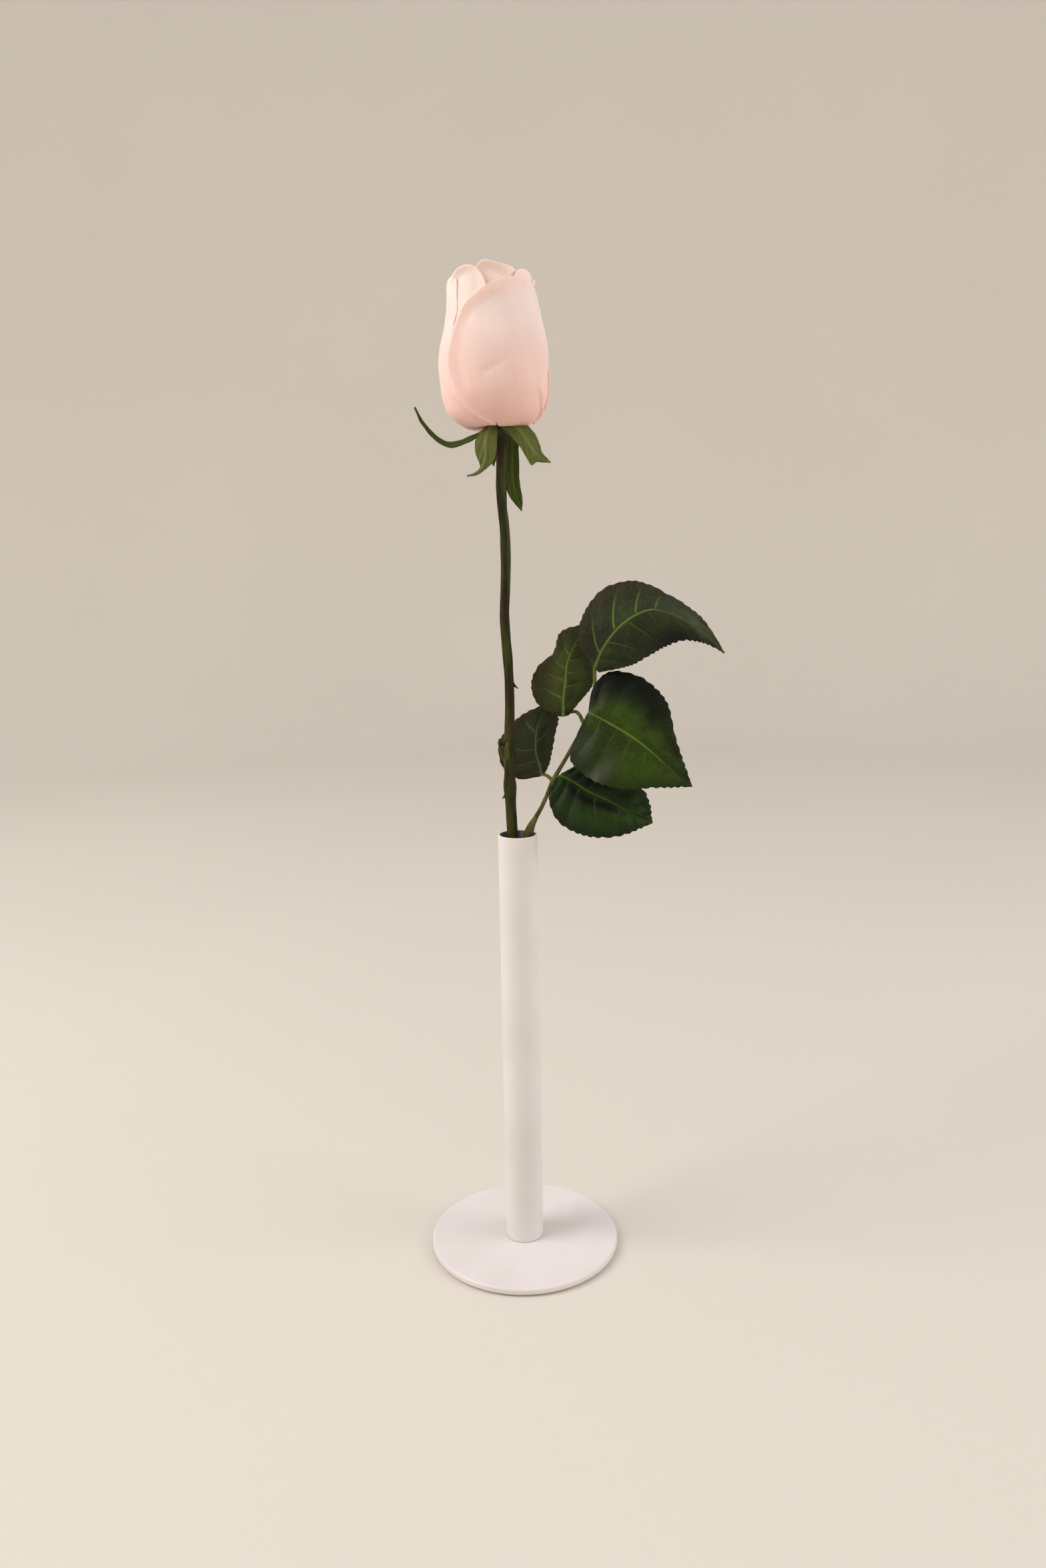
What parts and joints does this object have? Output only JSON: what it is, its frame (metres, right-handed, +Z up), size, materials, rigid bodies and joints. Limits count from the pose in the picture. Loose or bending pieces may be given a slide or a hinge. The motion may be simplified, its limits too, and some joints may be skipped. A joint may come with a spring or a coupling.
{
  "type": "bud vase with artificial rose",
  "caption": "Slim white coated steel tube vase on a round base disc, holding an artificial rose that lifts out and turns.",
  "frame": {"origin": "centre of the foot pad's underside, on the tube's axis, at table level", "axes": "+Z up along the tube's axis, -Y the front, +X the side that the leaves reach out to"},
  "size_m": [0.1377, 0.09, 0.4496],
  "materials": {
    "white_coat": "smooth satin powder coat, bare and dark inside the tube",
    "bright_steel": "plain zinc-plated steel",
    "foam_pad": "fine closed-cell foam",
    "cap_plastic": "moulded",
    "stem_plastic": "moulded, olive brown and green, soft sheen",
    "socket_plastic": "moulded, light green with a brown underside",
    "leaf_green": "coated leaf fabric, satin, light veins",
    "sepal_green": "soft moulded, light and dark green",
    "petal_pink": "soft matt petal cloth, pale peach pink",
    "foam_core": "expanded foam"
  },
  "bodies": {
    "vase": {"foot_pad": "foam_pad", "base_disc": "white_coat", "base_screw": "bright_steel", "tube_end_plug": "bright_steel", "tube": "white_coat"},
    "stem_foot": {"stem_end_cap": "cap_plastic"},
    "rose": {"stem_wire": "bright_steel", "stem": "stem_plastic", "stem_thorns": "stem_plastic", "leaf_socket": "socket_plastic", "leaf_stalk": "stem_plastic", "leaflet_top": "leaf_green", "leaflet_upper_left": "leaf_green", "leaflet_right": "leaf_green", "leaflet_lower_left": "leaf_green", "leaflet_lower_right": "leaf_green", "calyx_cup": "sepal_green", "sepal_1": "sepal_green", "sepal_2": "sepal_green", "sepal_3": "sepal_green", "sepal_4": "sepal_green", "sepal_5": "sepal_green", "bud_core": "foam_core", "petal_outer_1": "petal_pink", "petal_outer_2": "petal_pink", "petal_outer_3": "petal_pink", "petal_middle_1": "petal_pink", "petal_middle_2": "petal_pink", "petal_middle_3": "petal_pink", "petal_inner_1": "petal_pink", "petal_inner_2": "petal_pink", "petal_inner_3": "petal_pink"}
  },
  "joints": [
    {"name": "rose_lift", "type": "slide", "parent": "vase", "child": "stem_foot", "axis": [0, 0, 1], "range_m": [0, 0.195]},
    {"name": "rose_turn", "type": "hinge", "parent": "stem_foot", "child": "rose", "pos_m": [0, 0, 0.016], "axis": [0, 0, 1], "continuous": true}
  ]
}
